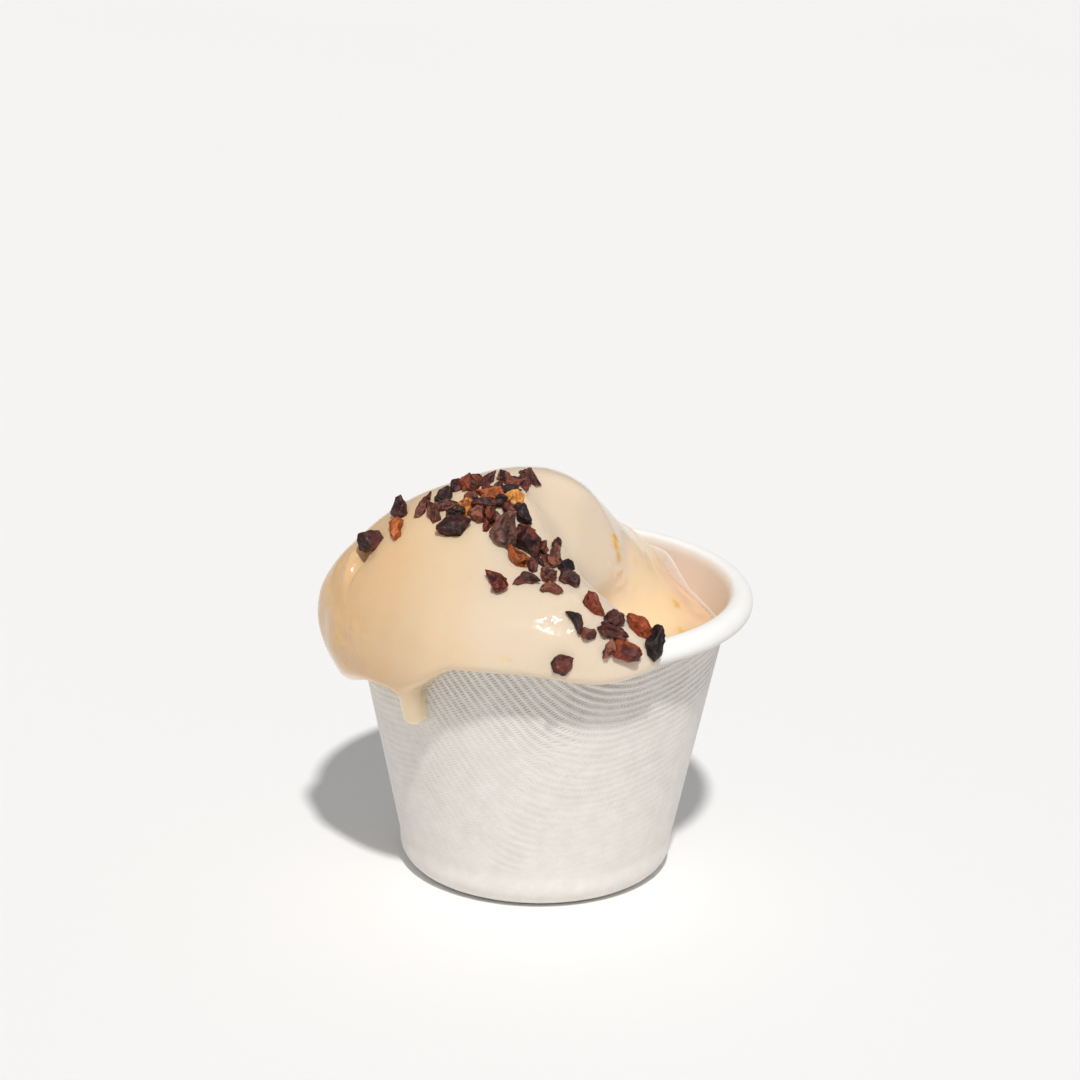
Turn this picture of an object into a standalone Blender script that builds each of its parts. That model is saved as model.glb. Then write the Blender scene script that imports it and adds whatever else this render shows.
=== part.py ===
"""A tub of soft sorbet: a pressed paper-fibre cup with a rolled lip, and the
mound of sorbet that fills it, leans over the rim and runs down the outside.

Metres, +Z up. The origin is the middle of the cup's underside. -Y is the side
where the sorbet lies over the rim, +X the side where the rim is free.
"""
import math

import bpy
import numpy as np

MM = 0.001

# ---------------------------------------------------------------- the cup (mm)
LIP_R = 42.3          # radius of the circle that the rolled lip is centred on
LIP_Z = 60.3          # height of that circle
LIP_OUT = 2.7         # roll, outer radius: rim 90 across, 63 high
LIP_IN = 1.75         # roll, inner radius
LIP_END = -32.0       # degrees where the roll stops, below its widest point
WALL_Z = 7.0          # where the straight wall starts above the bottom fillet
WALL_OUT = 29.4       # outer radius there
WALL_IN = 28.45       # inner radius there
TAPER = 0.2063        # growth of the radius with height
FOOT_R = 24.0         # radius of the flat underside
FLOOR_T = 1.0         # thickness of the bottom
GAP = 0.3             # clearance between the sorbet and the cup
TURN = 64             # segments of everything turned

# ------------------------------------------------------------- the sorbet (mm)
# Every lobe is a row of balls (x, y, z, radius) with tapering links between.
CREST = [(-32.9, -9, 60.0, 12.1), (-28.2, -9, 63.2, 14.3), (-20.5, -8, 66.2, 17.8),
         (-12.5, -6, 67.6, 19.3), (-6.0, -3, 69.4, 18.8), (-3.0, 0, 69.5, 17.8)]
SHOULDER = [(-22, -14, 61, 17.5), (-13, -18, 62.0, 17.0), (-4.5, -23.0, 61.0, 15.6), (3.0, -27.5, 59.8, 13.6)]
APRON = [(-33.2, -10, 59.0, 11.6), (-26.6, -19, 58.5, 13.7), (-15, -27, 57.5, 16.8), (-4, -30, 57.0, 16.4),
         (5.0, -32.5, 57.0, 13.4), (10.5, -33.5, 57.4, 11.2), (16.6, -34.8, 58.6, 8.2), (21.0, -35.1, 60.0, 4.6)]
RIDGE_BACK = [(-1.5, 7, 67.0, 17.6), (5.0, 13, 61.8, 15.8), (13.8, 20.5, 54.6, 13.6)]
REAR = [(-22, 10, 59, 15.5), (-10, 20, 57, 16), (2, 22, 57, 14)]
SLOPE = [(8, 8, 57, 13.0), (20, 10, 51.5, 10.0)]
# the hollow between the front fold and the back: x, y and height of its floor,
# then the slope of its sides and how round it is at the bottom
HOLLOW = [(-0.5, -1.0, 89.5, 1.70, 2.2), (2.2, -5.6, 80.2, 1.45, 2.6), (6.8, -9.0, 72.0, 1.10, 3.6),
          (12.8, -10.2, 63.8, 0.85, 4.6), (20.5, -13.2, 58.2, 0.85, 4.6), (31.0, -19.0, 55.5, 0.85, 4.6)]
DRIP = [(-26.7, -32.6, 51.4, 2.6), (-26.0, -30.6, 47.7, 2.5), (-25.5, -29.2, 43.9, 2.4)]
FILL_LOW, FILL_HIGH = 53.0, 56.0      # level of the sorbet at the free side and behind
SKIRT_Z = 43.6                        # lower edge of the part that hangs outside
SKIRT_T = 5.9                         # its thickness there
HANG = 2.6                            # how far the front edge sags in its middle
CORE = (-3.0, -6.0, 42.0)             # point inside that sees the whole skin
SEGS, RINGS = 128, 96                 # the ball that the skin is drawn from
GRAIN = 1.4                           # size of the skin's net before it is thinned
KEEP = 0.16                           # share of it that is kept


def arc(cx, cz, r, a0, a1, n):
    return [(cx + r * math.cos(math.radians(a0 + (a1 - a0) * i / n)),
             cz + r * math.sin(math.radians(a0 + (a1 - a0) * i / n))) for i in range(n + 1)]


def wall_out(z):
    return WALL_OUT + (z - WALL_Z) * TAPER


def wall_in(z):
    return WALL_IN + (z - WALL_Z) * TAPER


# ------------------------------------------------------------ smooth set rules
def smin(a, b, k):
    h = np.maximum(k - np.abs(a - b), 0.0) / k
    return np.minimum(a, b) - h * h * k * 0.25


def smax(a, b, k):
    return -smin(-a, -b, k)


def step(t):
    t = np.clip(t, 0.0, 1.0)
    return t * t * (3.0 - 2.0 * t)


def flow(balls, n=3):
    """The row with n links for each of its own, along a smooth line through it."""
    row = np.array(balls, float)
    row = np.vstack([2 * row[0] - row[1], row, 2 * row[-1] - row[-2]])
    out = []
    for i in range(1, len(row) - 2):
        a, b, c, d = row[i - 1:i + 3]
        for j in range(n):
            t = j / n
            out.append(0.5 * (2 * b + (c - a) * t + (2 * a - 5 * b + 4 * c - d) * t ** 2
                              + (3 * b - a - 3 * c + d) * t ** 3))
    out.append(row[-2])
    return out


def lobe(p, balls):
    """Signed distance to a row of balls joined by tapering links."""
    best = None
    balls = flow(balls)
    for one, two in zip(balls[:-1], balls[1:]):
        a, b = np.array(one[:3], float), np.array(two[:3], float)
        ab = b - a
        t = np.clip(((p - a) @ ab) / (ab @ ab), 0.0, 1.0)
        d = np.linalg.norm(p - (a + t[..., None] * ab), axis=-1) - (one[3] + (two[3] - one[3]) * t)
        best = d if best is None else np.minimum(best, d)
    return best


def hollow(p):
    """Above zero over the floor and the rising sides of the hollow."""
    away, total, form = None, 0.0, 0.0
    for one, two in zip(HOLLOW[:-1], HOLLOW[1:]):
        a, b = np.array(one, float), np.array(two, float)
        ab = b[:2] - a[:2]
        t = np.clip(((p[..., :2] - a[:2]) @ ab) / (ab @ ab), 0.0, 1.0)
        d = np.linalg.norm(p[..., :2] - (a[:2] + t[..., None] * ab), axis=-1)
        share = np.exp(-d / 1.6) + 1e-12
        form = form + share[..., None] * (a[2:] + (b[2:] - a[2:]) * t[..., None])
        total = total + share
        away = d if away is None else smin(away, d, 2.0)
    form = form / total[..., None]
    floor, slope, soft = form[..., 0], form[..., 1], form[..., 2]
    away = np.maximum(away, 0.0)
    side = floor + slope * (np.sqrt(away * away + soft * soft) - soft)
    return (p[..., 2] - side) / np.sqrt(1.0 + slope * slope)


def lower_edge(deg):
    """Height of the sorbet's lower edge outside the cup, by compass angle."""
    hang = step((deg - 166.0) / 30.0) * (1.0 - 0.43 * step((deg - 189.0) / 34.0)) * (1.0 - step((deg - 229.0) / 21.0))
    sag = HANG * np.exp(-((deg - 287.0) / 13.0) ** 2)
    return 58.6 - (58.6 - SKIRT_Z) * hang - sag


def sorbet(p):
    """Signed distance to the sorbet before the cup is taken out of it."""
    x, y, z = p[..., 0], p[..., 1], p[..., 2]
    r = np.hypot(x, y)
    deg = np.degrees(np.arctan2(y, x)) % 360.0
    front = smin(smin(lobe(p, CREST), lobe(p, SHOULDER), 7.0), lobe(p, APRON), 7.0)
    back = smin(smin(lobe(p, RIDGE_BACK), lobe(p, REAR), 8.0), lobe(p, SLOPE), 6.0)
    mound = smin(front, back, 4.0)
    mound = smax(mound, hollow(p), 3.0)
    # the part that hangs over the left of the rim and lies on the wall
    skin = r - (wall_out(z) + SKIRT_T - 0.06 * (z - SKIRT_Z))
    side = np.maximum(176.0 - deg, deg - 228.0) * 0.7
    skirt = smax(smax(skin, z - 57.0, 6.0), side, 6.0)
    mound = smin(mound, skirt, 5.0)
    low = lower_edge(deg)
    low = low + 0.4 * np.clip(45.5 - r, 0.0, 7.0) * np.clip((low - 46.0) / 8.0, 0.0, 1.0)
    outside = smin(smax(mound, low - z, 3.0), lobe(p, DRIP), 1.6)
    level = FILL_LOW + (FILL_HIGH - FILL_LOW) * step((25.0 - x) / 20.0)
    inside = smin(np.maximum(mound, r - (wall_in(z) + 0.45)), smax(z - level, r - (wall_in(z) + 0.45), 0.5), 8.0)
    inside = np.maximum(np.maximum(inside, r - (wall_in(z) + 0.45)), 0.3 - z)
    above = smin(mound, smax(z - level, r - 41.0, 2.0), 8.0)
    return np.where(z > 63.2, above, np.where(r > wall_out(z), outside, inside))


# ------------------------------------------------------------------- the scene
for old in list(bpy.data.objects):
    bpy.data.objects.remove(old, do_unlink=True)

parts = bpy.data.collections.new("sorbet_tub")
cutters = bpy.data.collections.new("cutters")
bpy.context.scene.collection.children.link(parts)
bpy.context.scene.collection.children.link(cutters)


def material(name, colour, roughness):
    mat = bpy.data.materials.new(name)
    mat.use_nodes = True
    bsdf = mat.node_tree.nodes["Principled BSDF"]
    bsdf.inputs["Base Color"].default_value = (*colour, 1.0)
    bsdf.inputs["Roughness"].default_value = roughness
    bsdf.inputs["Metallic"].default_value = 0.0
    return mat


def place(obj, where, mat=None):
    for c in list(obj.users_collection):
        c.objects.unlink(obj)
    where.objects.link(obj)
    if mat is not None:
        obj.data.materials.clear()
        obj.data.materials.append(mat)
    return obj


def turned(name, profile, where, mat=None):
    """A profile of (radius, height) in mm turned about Z; both ends lie on the axis."""
    mesh = bpy.data.meshes.new(name)
    edges = [(i, i + 1) for i in range(len(profile) - 1)]
    mesh.from_pydata([(r * MM, 0.0, z * MM) for r, z in profile], edges, [])
    obj = place(bpy.data.objects.new(name, mesh), where, mat)
    screw = obj.modifiers.new("turn", "SCREW")
    screw.axis = "Z"
    screw.angle = math.tau
    screw.steps = TURN
    screw.render_steps = TURN
    screw.use_merge_vertices = True
    screw.merge_threshold = 0.00005
    screw.use_smooth_shade = True
    return obj


def evaluated(obj):
    bpy.context.view_layer.update()
    deps = bpy.context.evaluated_depsgraph_get()
    return bpy.data.meshes.new_from_object(obj.evaluated_get(deps), depsgraph=deps)


# ------------------------------------------------------------------ the cup
paper = material("paper_fibre", (0.80, 0.76, 0.71), 0.85)
foot_out = arc(FOOT_R, 5.4, 5.4, 0.0, -90.0, 4)
foot_in = arc(FOOT_R, 5.4 + 0.15, 4.55, -90.0, 0.0, 3)
inner = foot_in + [(wall_in(WALL_Z), WALL_Z), (wall_in(34.0), 34.0), (wall_in(57.0), 57.0)]
profile = ([(0.0, FLOOR_T)] + inner
           + arc(LIP_R, LIP_Z, LIP_OUT, 168.0, LIP_END, 9)
           + arc(LIP_R, LIP_Z, LIP_IN, LIP_END, 165.0, 6)
           + [(wall_out(57.0), 57.0), (wall_out(34.0), 34.0), (wall_out(WALL_Z), WALL_Z)]
           + foot_out + [(0.0, 0.0)])
cup = turned("cup", profile, parts, paper)

# ------------------------------------------------- the cup's room, as a cutter
room = ([(0.0, FLOOR_T + GAP)] + [(r - GAP, z + GAP) for r, z in foot_in]
        + [(wall_in(WALL_Z) - GAP, WALL_Z), (wall_in(34.0) - GAP, 34.0), (wall_in(57.0) - GAP, 57.0)]
        + arc(LIP_R, LIP_Z, LIP_OUT + GAP, 172.0, LIP_END - 6.0, 10)
        + [(wall_out(51.5) + GAP, 51.5), (wall_out(36.0) + GAP, 36.0), (wall_out(36.0) + 12.0, 30.0),
           (wall_out(36.0) + 12.0, -6.0), (0.0, -6.0)])
cutter = turned("cup_room", room, cutters)
cutter.hide_render = True
cutter.display_type = "WIRE"

# ---------------------------------------------------------------- the sorbet
cream = material("sorbet", (0.86, 0.71, 0.50), 0.28)
bpy.ops.mesh.primitive_uv_sphere_add(segments=SEGS, ring_count=RINGS, radius=1.0)
blob = place(bpy.context.active_object, parts, cream)
blob.name = "sorbet"
blob.data.name = "sorbet"
core = np.array(CORE)
co = np.array([v.co[:] for v in blob.data.vertices])
rays = co / np.linalg.norm(co, axis=1)[:, None]
far = np.full(len(rays), 62.0)
for _ in range(90):                   # walk inwards to the outermost skin
    far = far - np.clip(0.7 * sorbet(core + far[:, None] * rays), -0.3, 3.0)
skin = (core + far[:, None] * rays) * MM
blob.data.vertices.foreach_set("co", skin.astype(np.float32).ravel())
blob.data.update()

# an even net over it, laid back onto the exact form, twice
NUDGE = [np.array(e) for e in ((0.05, 0, 0), (0, 0.05, 0), (0, 0, 0.05))]
for steps, most in ((14, 4.0), (6, 1.5)):
    net = blob.modifiers.new("net", "REMESH")
    net.mode = "VOXEL"
    net.voxel_size = GRAIN * MM
    mesh = evaluated(blob)
    blob.modifiers.remove(net)
    blob.data = mesh
    pts = np.array([v.co[:] for v in blob.data.vertices]) / MM
    for _ in range(steps):
        d = sorbet(pts)
        grad = np.stack([(sorbet(pts + e) - sorbet(pts - e)) / 0.1 for e in NUDGE], axis=-1)
        size = np.linalg.norm(grad, axis=1)
        calm = (size > 0.4) & (size < 1.8) & (np.abs(d) < most)
        move = np.where(calm, -0.7 * d / np.maximum(size, 0.5) ** 2, 0.0)
        pts = pts + np.clip(move, -0.5, 0.5)[:, None] * grad
    # what is stretched between the skirt, the drip and the wall goes back into the wall
    rad, high = np.hypot(pts[:, 0], pts[:, 1]), pts[:, 2]
    loose = (rad > wall_out(high) - 0.9) & (high < 58.0) & (sorbet(pts) > 0.2)
    pts[loose, :2] *= ((wall_out(high) - 0.9) / rad)[loose, None]
    blob.data.vertices.foreach_set("co", (pts * MM).astype(np.float32).ravel())
    blob.data.update()
blob.data.name = "sorbet"
if not blob.data.materials:
    blob.data.materials.append(cream)
blob.data.shade_smooth()

thin = blob.modifiers.new("thin", "DECIMATE")
thin.decimate_type = "COLLAPSE"
thin.ratio = KEEP
thin.use_collapse_triangulate = True

cut = blob.modifiers.new("cup_room", "BOOLEAN")
cut.operation = "DIFFERENCE"
cut.solver = "EXACT"
cut.object = cutter
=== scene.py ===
"""Looks of the sorbet tub: pressed-fibre cup, soft sorbet, cocoa nibs."""
import math

import bmesh
import bpy
import numpy as np
from mathutils import Matrix, Vector
from mathutils.bvhtree import BVHTree


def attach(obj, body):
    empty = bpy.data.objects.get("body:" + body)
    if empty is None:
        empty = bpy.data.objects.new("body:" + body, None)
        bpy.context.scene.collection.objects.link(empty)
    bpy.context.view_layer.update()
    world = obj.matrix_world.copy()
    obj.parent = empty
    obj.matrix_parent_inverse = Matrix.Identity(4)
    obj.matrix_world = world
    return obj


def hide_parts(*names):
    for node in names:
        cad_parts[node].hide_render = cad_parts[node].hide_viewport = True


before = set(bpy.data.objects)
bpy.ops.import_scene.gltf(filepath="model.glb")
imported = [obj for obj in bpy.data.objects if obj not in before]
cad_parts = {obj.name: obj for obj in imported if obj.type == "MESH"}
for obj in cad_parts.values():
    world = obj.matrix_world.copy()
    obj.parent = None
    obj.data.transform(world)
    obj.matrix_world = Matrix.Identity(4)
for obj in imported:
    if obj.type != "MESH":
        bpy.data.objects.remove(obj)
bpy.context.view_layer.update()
MM = 0.001
rng = np.random.default_rng(20240611)

# ------------------------------------------------------------------ camera
CAM_POS = Vector((0.0, -649.80, 289.62)) * MM
CAM_F = Vector((-0.000464, 0.948335, -0.317271))
CAM_U = Vector((-0.020049, 0.317198, 0.948147))
CAM_R = Vector((0.999799, 0.006801, 0.018866))
cam_data = bpy.data.cameras.new("camera")
cam_data.sensor_width = 36.0
cam_data.lens = 108.34
cam_data.clip_start = 0.01
cam_data.clip_end = 20.0
cam = bpy.data.objects.new("camera", cam_data)
bpy.context.scene.collection.objects.link(cam)
cam.matrix_world = Matrix(((CAM_R.x, CAM_U.x, -CAM_F.x, CAM_POS.x),
                           (CAM_R.y, CAM_U.y, -CAM_F.y, CAM_POS.y),
                           (CAM_R.z, CAM_U.z, -CAM_F.z, CAM_POS.z),
                           (0, 0, 0, 1)))
bpy.context.scene.camera = cam

# --------------------------------------------------------- numpy form tools
def smin(a, b, k):
    h = np.maximum(k - np.abs(a - b), 0.0) / k
    return np.minimum(a, b) - h * h * k * 0.25


def smax(a, b, k):
    return -smin(-a, -b, k)


def step(t):
    t = np.clip(t, 0.0, 1.0)
    return t * t * (3.0 - 2.0 * t)


def flow(balls, n=3):
    row = np.array(balls, float)
    row = np.vstack([2 * row[0] - row[1], row, 2 * row[-1] - row[-2]])
    out = []
    for i in range(1, len(row) - 2):
        a, b, c, d = row[i - 1:i + 3]
        for j in range(n):
            t = j / n
            out.append(0.5 * (2 * b + (c - a) * t + (2 * a - 5 * b + 4 * c - d) * t ** 2
                              + (3 * b - a - 3 * c + d) * t ** 3))
    out.append(row[-2])
    return out


def lobe(p, balls):
    best = None
    balls = flow(balls)
    p32 = p
    for one, two in zip(balls[:-1], balls[1:]):
        a, b = np.array(one[:3], p.dtype), np.array(two[:3], p.dtype)
        ab = b - a
        t = np.clip(((p32 - a) @ ab) / (ab @ ab), 0.0, 1.0)
        q = p32 - (a + t[..., None] * ab)
        d = np.sqrt(np.einsum("...i,...i->...", q, q)) - (one[3] + (two[3] - one[3]) * t)
        best = d if best is None else np.minimum(best, d)
    return best


class Noise:
    """Smooth value noise on a seeded lattice."""

    def __init__(self, seed):
        self.g = np.random.default_rng(seed).random((32, 32, 32)).astype(np.float32) * 2 - 1

    def __call__(self, p, scale):
        q = np.asarray(p, np.float32) / scale + 100.0
        i = np.floor(q).astype(np.int64)
        f = q - i
        f = f * f * (3 - 2 * f)
        out = 0.0
        for dx in (0, 1):
            wx = f[..., 0] if dx else 1 - f[..., 0]
            for dy in (0, 1):
                wy = f[..., 1] if dy else 1 - f[..., 1]
                for dz in (0, 1):
                    wz = f[..., 2] if dz else 1 - f[..., 2]
                    out = out + wx * wy * wz * self.g[(i[..., 0] + dx) % 32, (i[..., 1] + dy) % 32,
                                                      (i[..., 2] + dz) % 32]
        return out


# ---------------------------------------------------------------- the cup
LIP_R, LIP_Z, LIP_OUT, LIP_IN, LIP_END = 42.3, 60.3, 2.7, 1.75, -32.0
WALL_Z, WALL_OUT, WALL_IN, TAPER = 7.0, 29.4, 28.45, 0.2063
FOOT_R, FLOOR_T = 24.0, 1.0


def arc(cx, cz, r, a0, a1, n):
    return [(cx + r * math.cos(math.radians(a0 + (a1 - a0) * i / n)),
             cz + r * math.sin(math.radians(a0 + (a1 - a0) * i / n))) for i in range(n + 1)]


def wall_out(z):
    return WALL_OUT + (z - WALL_Z) * TAPER


def wall_in(z):
    return WALL_IN + (z - WALL_Z) * TAPER


def cup_profile(outer_rows):
    """Profile from the middle of the floor, up the inside, over the lip, down the outside."""
    inner = [(0.0, FLOOR_T)] + [(r, FLOOR_T) for r in (6, 12, 18)]
    inner += arc(FOOT_R, 5.55, 4.55, -90.0, 0.0, 6)
    inner += [(wall_in(z), z) for z in np.linspace(WALL_Z, 57.0, 30)]
    lip = arc(LIP_R, LIP_Z, LIP_OUT, 170.0, LIP_END, 20)
    end = arc(LIP_R + (LIP_OUT + LIP_IN) / 2 * math.cos(math.radians(LIP_END)),
              LIP_Z + (LIP_OUT + LIP_IN) / 2 * math.sin(math.radians(LIP_END)),
              (LIP_OUT - LIP_IN) / 2, LIP_END - 30, LIP_END - 150, 3)
    under = arc(LIP_R, LIP_Z, LIP_IN, LIP_END, 160.0, 8)
    outer = [(wall_out(z), z) for z in np.linspace(58.5, WALL_Z, outer_rows)]
    foot = arc(FOOT_R, 5.4, 5.4, 0.0, -90.0, 9)
    foot += [(r, 0.0) for r in (18, 12, 6, 0)]
    return inner, lip + end + under, outer, foot


def polygon_distance(points, r, z):
    """Signed distance to a closed outline in the (radius, height) plane."""
    best = np.full(r.shape, 1e9)
    inside = np.zeros(r.shape, bool)
    n = len(points)
    for i in range(n):
        (ax, az), (bx, bz) = points[i], points[(i + 1) % n]
        ex, ez = bx - ax, bz - az
        length = ex * ex + ez * ez
        if length < 1e-12:
            continue
        t = np.clip(((r - ax) * ex + (z - az) * ez) / length, 0, 1)
        best = np.minimum(best, (r - ax - t * ex) ** 2 + (z - az - t * ez) ** 2)
        if az != bz:
            hit = ((az > z) != (bz > z)) & (r < ax + (z - az) / (bz - az) * ex)
            inside ^= hit
    return np.where(inside, -1, 1) * np.sqrt(best)


_parts = cup_profile(30)
_outline = [p for part in _parts for p in part]
_gr = np.arange(0.0, 60.0, 0.2)
_gz = np.arange(-4.0, 94.0, 0.2)
_cup_table = polygon_distance(_outline, *np.meshgrid(_gr, _gz, indexing="ij")).astype(np.float32)


def cup_distance(r, z):
    a = np.clip(r / 0.2, 0, len(_gr) - 1.001)
    b = np.clip((z + 4.0) / 0.2, 0, len(_gz) - 1.001)
    i, j = a.astype(int), b.astype(int)
    u, v = a - i, b - j
    t = _cup_table
    return ((t[i, j] * (1 - u) + t[i + 1, j] * u) * (1 - v) + (t[i, j + 1] * (1 - u) + t[i + 1, j + 1] * u) * v)


# ------------------------------------------------------------- the sorbet
CREST = [(-32.9, -9, 60.0, 12.1), (-28.2, -9, 63.2, 14.3), (-20.5, -8, 66.2, 17.8),
         (-12.5, -6, 67.6, 19.3), (-6.0, -3, 69.4, 18.8), (-3.0, 0, 69.5, 17.8)]
SHOULDER = [(-22, -14, 61, 17.5), (-13, -18, 62.0, 17.0), (-4.5, -23.0, 61.0, 15.6), (3.0, -27.5, 59.8, 13.6)]
APRON = [(-33.2, -10, 59.0, 11.6), (-26.6, -19, 58.5, 13.7), (-15, -27, 57.5, 16.8), (-4, -30, 57.0, 16.4),
         (5.0, -32.5, 57.0, 13.4), (10.5, -33.5, 57.4, 11.2), (16.6, -34.8, 58.6, 8.2), (21.0, -35.1, 60.0, 4.6)]
RIDGE_BACK = [(-1.5, 7, 67.0, 17.6), (5.0, 13, 61.8, 15.8), (13.8, 20.5, 54.6, 13.6)]
REAR = [(-22, 10, 59, 15.5), (-10, 20, 57, 16), (2, 22, 57, 14)]
SLOPE = [(8, 8, 57, 13.0), (20, 10, 51.5, 10.0)]
HOLLOW = [(-0.5, -1.0, 89.5, 1.70, 2.2), (2.2, -5.6, 80.2, 1.45, 2.6), (6.8, -9.0, 72.0, 1.10, 3.6),
          (12.8, -10.2, 63.8, 0.85, 4.6), (20.5, -13.2, 58.2, 0.85, 4.6), (31.0, -19.0, 55.5, 0.85, 4.6)]
DRIP = [(-26.7, -32.6, 51.4, 2.6), (-26.0, -30.6, 47.7, 2.5), (-25.5, -29.2, 43.9, 2.4)]
FILL_LOW, FILL_HIGH = 53.0, 56.0
SKIRT_Z, SKIRT_T, HANG = 43.6, 5.9, 2.6


def hollow(p):
    away, total, form = None, 0.0, 0.0
    for one, two in zip(HOLLOW[:-1], HOLLOW[1:]):
        a, b = np.array(one, float), np.array(two, float)
        ab = b[:2] - a[:2]
        t = np.clip(((p[..., :2] - a[:2]) @ ab) / (ab @ ab), 0.0, 1.0)
        d = np.linalg.norm(p[..., :2] - (a[:2] + t[..., None] * ab), axis=-1)
        share = np.exp(-d / 1.6) + 1e-12
        form = form + share[..., None] * (a[2:] + (b[2:] - a[2:]) * t[..., None])
        total = total + share
        away = d if away is None else smin(away, d, 2.0)
    form = form / total[..., None]
    floor, slope, soft = form[..., 0], form[..., 1], form[..., 2]
    away = np.maximum(away, 0.0)
    side = floor + slope * (np.sqrt(away * away + soft * soft) - soft)
    return (p[..., 2] - side) / np.sqrt(1.0 + slope * slope)


def lower_edge(deg):
    hang = step((deg - 166.0) / 30.0) * (1.0 - 0.43 * step((deg - 189.0) / 34.0)) * (1.0 - step((deg - 229.0) / 21.0))
    sag = HANG * np.exp(-((deg - 287.0) / 13.0) ** 2)
    return 58.6 - (58.6 - SKIRT_Z) * hang - sag


def heap(p):
    """The whole heap, as if the cup's rim were not there."""
    x, y, z = p[..., 0], p[..., 1], p[..., 2]
    r = np.hypot(x, y)
    deg = np.degrees(np.arctan2(y, x)) % 360.0
    front = smin(smin(lobe(p, CREST), lobe(p, SHOULDER), 7.0), lobe(p, APRON), 7.0)
    back = smin(smin(lobe(p, RIDGE_BACK), lobe(p, REAR), 8.0), lobe(p, SLOPE), 6.0)
    mound = smin(front, back, 4.0)
    mound = smax(mound, hollow(p), 3.0)
    skin = r - (wall_out(z) + SKIRT_T - 0.06 * (z - SKIRT_Z))
    side = np.maximum(176.0 - deg, deg - 228.0) * 0.7
    skirt = smax(smax(skin, z - 57.0, 6.0), side, 6.0)
    return smin(mound, skirt, 5.0)


def blur(f, times):
    for axis in range(3):
        for _ in range(times):
            pad = np.pad(f, [(1, 1) if a == axis else (0, 0) for a in range(3)], mode="edge")
            lo = np.take(pad, range(0, f.shape[axis]), axis)
            hi = np.take(pad, range(2, f.shape[axis] + 2), axis)
            f = 0.5 * f + 0.25 * (lo + hi)
    return f


def double(f):
    for axis in range(3):
        n = f.shape[axis]
        lo = np.take(f, range(0, n - 1), axis)
        hi = np.take(f, range(1, n), axis)
        shape = list(f.shape)
        shape[axis] = 2 * n - 1
        out = np.empty(shape, f.dtype)
        even = [slice(None)] * 3
        odd = [slice(None)] * 3
        even[axis] = slice(0, None, 2)
        odd[axis] = slice(1, None, 2)
        out[tuple(even)] = f
        out[tuple(odd)] = 0.5 * (lo + hi)
        f = out
    return f


def surface_net(f, xs, ys, zs):
    """Quads of the zero surface of a field on a grid, facing outwards."""
    neg = f < 0
    nx, ny, nz = f.shape
    corner = sum(neg[i:nx - 1 + i, j:ny - 1 + j, k:nz - 1 + k].astype(np.int8)
                 for i in (0, 1) for j in (0, 1) for k in (0, 1))
    active = (corner > 0) & (corner < 8)
    ci, cj, ck = np.nonzero(active)
    index = np.full(active.shape, -1, np.int64)
    index[ci, cj, ck] = np.arange(len(ci))
    acc = np.zeros((len(ci), 3))
    cnt = np.zeros(len(ci))
    for axis in range(3):
        others = [a for a in range(3) if a != axis]
        for u in (0, 1):
            for v in (0, 1):
                o0 = [0, 0, 0]
                o0[others[0]], o0[others[1]] = u, v
                o1 = list(o0)
                o1[axis] = 1
                a = f[ci + o0[0], cj + o0[1], ck + o0[2]]
                b = f[ci + o1[0], cj + o1[1], ck + o1[2]]
                cross = (a < 0) != (b < 0)
                t = np.where(cross, a / np.where(cross, a - b, 1.0), 0.0)
                q = np.zeros((len(ci), 3))
                for c in range(3):
                    q[:, c] = o0[c] + (t if c == axis else 0.0)
                acc += np.where(cross[:, None], q, 0.0)
                cnt += cross
    acc /= np.maximum(cnt, 1)[:, None]
    grid = (xs, ys, zs)
    pts = np.empty((len(ci), 3))
    for c, cc in enumerate((ci, cj, ck)):
        pts[:, c] = grid[c][cc] + acc[:, c] * (grid[c][cc + 1] - grid[c][cc])
    quads = []
    for axis in range(3):
        b, c = [(1, 2), (2, 0), (0, 1)][axis]
        size = [nx, ny, nz]
        lo = [slice(1, n - 1) for n in size]
        hi = [slice(1, n - 1) for n in size]
        lo[axis] = slice(0, size[axis] - 1)
        hi[axis] = slice(1, size[axis])
        s0, s1 = neg[tuple(lo)], neg[tuple(hi)]
        e = np.nonzero(s0 != s1)
        base = [e[a] + (0 if a == axis else 1) for a in range(3)]
        flip = s0[e]
        def cell(db, dc):
            q = [base[0].copy(), base[1].copy(), base[2].copy()]
            q[b] -= db
            q[c] -= dc
            return index[q[0], q[1], q[2]]
        quad = np.stack([cell(1, 1), cell(0, 1), cell(0, 0), cell(1, 0)], axis=1)
        quad[~flip] = quad[~flip][:, ::-1]
        quads.append(quad)
    return pts, np.vstack(quads)


def make_mesh(name, pts, faces, smooth=True):
    """Mesh from points in mm and faces with equal corner counts."""
    mesh = bpy.data.meshes.new(name)
    n, k = faces.shape
    mesh.vertices.add(len(pts))
    mesh.vertices.foreach_set("co", (np.asarray(pts) * MM).astype(np.float32).ravel())
    mesh.loops.add(n * k)
    mesh.loops.foreach_set("vertex_index", faces.astype(np.int32).ravel())
    mesh.polygons.add(n)
    mesh.polygons.foreach_set("loop_start", np.arange(0, n * k, k, dtype=np.int32))
    mesh.update(calc_edges=True)
    mesh.validate()
    if smooth:
        mesh.polygons.foreach_set("use_smooth", np.ones(n, bool))
    obj = bpy.data.objects.new(name, mesh)
    bpy.context.scene.collection.objects.link(obj)
    return obj


def normals_of(obj):
    nor = np.empty(len(obj.data.vertices) * 3, np.float32)
    obj.data.vertex_normals.foreach_get("vector", nor)
    return nor.reshape(-1, 3)


def coords_of(obj):
    co = np.empty(len(obj.data.vertices) * 3, np.float32)
    obj.data.vertices.foreach_get("co", co)
    return co.reshape(-1, 3) / MM


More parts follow.
